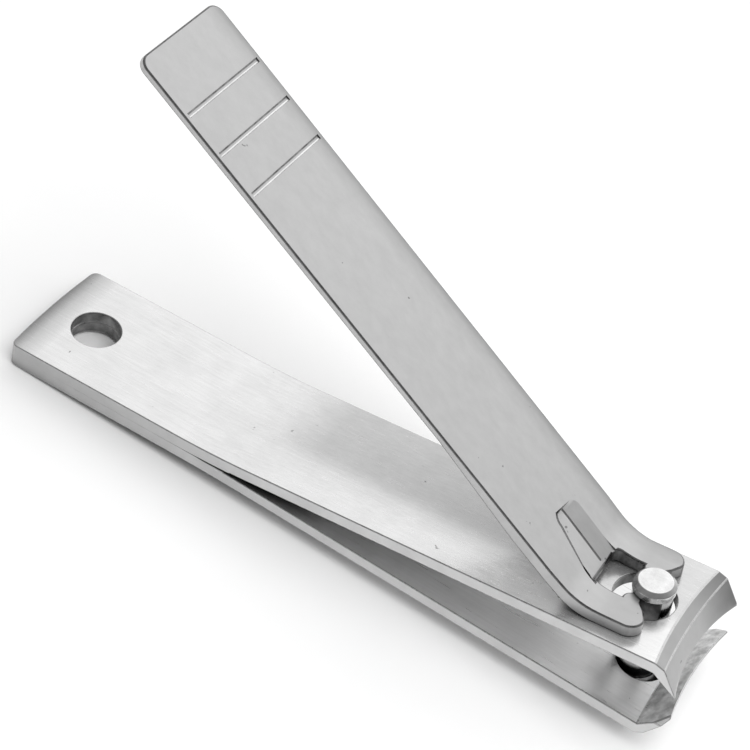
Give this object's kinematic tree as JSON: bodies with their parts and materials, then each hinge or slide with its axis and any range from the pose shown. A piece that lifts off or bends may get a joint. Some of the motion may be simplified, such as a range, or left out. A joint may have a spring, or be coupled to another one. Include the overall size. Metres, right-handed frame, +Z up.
{
  "type": "nail clipper",
  "caption": "Lever nail clipper with two sprung steel plates joined at the tail, curved sharpened jaws, a headed pin and a slotted lever with grip grooves.",
  "frame": {"origin": "bottom centre of the box around the whole clipper as it rests on its tail edge and the foot of its pin", "axes": "+X from the welded tail towards the jaws, +Y across the plates, +Z up"},
  "size_m": [0.079, 0.0154, 0.0446],
  "materials": {
    "plate_steel": "lengthwise brushed",
    "lever_steel": "satin",
    "pin_steel": "polished"
  },
  "bodies": {
    "lower_plate": {"lower_jaw": "plate_steel", "upper_jaw_tail": "plate_steel"},
    "upper_arm": {"upper_jaw": "plate_steel"},
    "pin": {"pin": "pin_steel"},
    "lever": {"lever": "lever_steel"}
  },
  "joints": [
    {"name": "jaw_flex", "type": "hinge", "parent": "lower_plate", "child": "upper_arm", "pos_m": [-0.01409, 0, 0.00365], "axis": [0, 1, 0], "range_deg": [0, 3.2]},
    {"name": "pin_swivel", "type": "hinge", "parent": "lower_plate", "child": "pin", "pos_m": [0.03188, 0, 0.01171], "axis": [-0.1584, 0, 0.9874], "continuous": true},
    {"name": "lever_press", "type": "hinge", "parent": "pin", "child": "lever", "pos_m": [0.03134, 0, 0.01316], "axis": [0, -1, 0], "range_deg": [0, 30.5], "stiffness_Nm_per_rad": 0.5}
  ],
  "couplings": [
    {"joint": "jaw_flex", "follows": "lever_press", "ratio": 0.1049}
  ]
}
